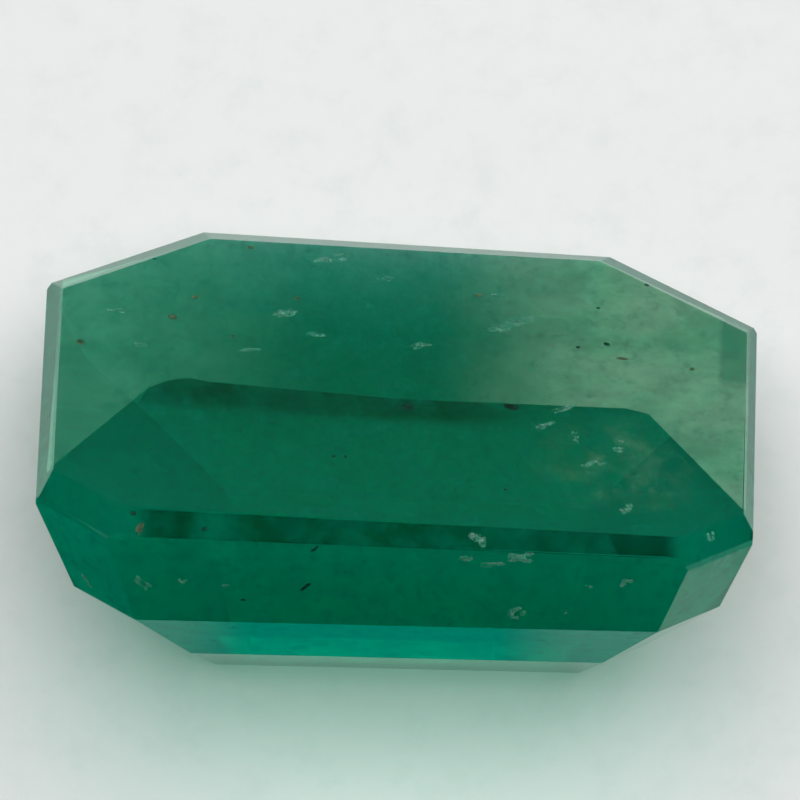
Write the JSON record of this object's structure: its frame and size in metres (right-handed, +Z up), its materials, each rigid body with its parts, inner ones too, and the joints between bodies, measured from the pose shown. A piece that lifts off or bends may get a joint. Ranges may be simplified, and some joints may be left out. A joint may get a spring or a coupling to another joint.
{
  "type": "emerald-cut gemstone",
  "caption": "Clear green step-cut gemstone, eight-sided, with a broad flat table, a low crown and a stepped pavilion, lying on a pavilion facet.",
  "frame": {"origin": "centre of the stone's bounding box, on the surface it lies on", "axes": "+Z up from the surface, X along the stone's length and keel, -Y towards the side where the near pavilion steps face out"},
  "size_m": [0.01, 0.007, 0.0061],
  "materials": {
    "emerald": "polished facets, clear green with fine inclusions"
  },
  "bodies": {
    "root": {"cut_emerald": "emerald"}
  },
  "joints": []
}
